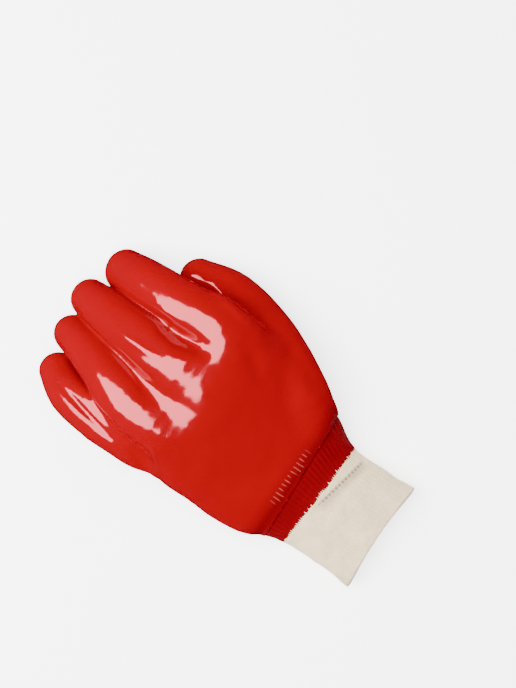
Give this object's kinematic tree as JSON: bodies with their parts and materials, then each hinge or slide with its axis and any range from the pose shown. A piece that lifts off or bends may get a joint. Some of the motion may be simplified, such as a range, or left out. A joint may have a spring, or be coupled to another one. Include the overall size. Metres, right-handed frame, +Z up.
{
  "type": "work glove",
  "caption": "Left-hand work glove lying palm down with its fingers curled: a hollow glossy coated hand, a coated band and a knitted wrist.",
  "frame": {"origin": "on the surface the glove lies on, under the middle of the cream knitted wrist", "axes": "+Y from the wrist towards the fingertips, +X towards the thumb's side, +Z up from the surface, out of the back of the hand"},
  "size_m": [0.1411, 0.25, 0.062],
  "materials": {
    "red_coating": "glossy PVC dipped over cotton",
    "red_coated_knit": "thin PVC coat over a ribbed knit",
    "cream_knit": "undyed cotton rib knit"
  },
  "bodies": {
    "root": {"coated_hand": "red_coating", "coated_band": "red_coated_knit", "knit_wrist": "cream_knit"}
  },
  "joints": []
}
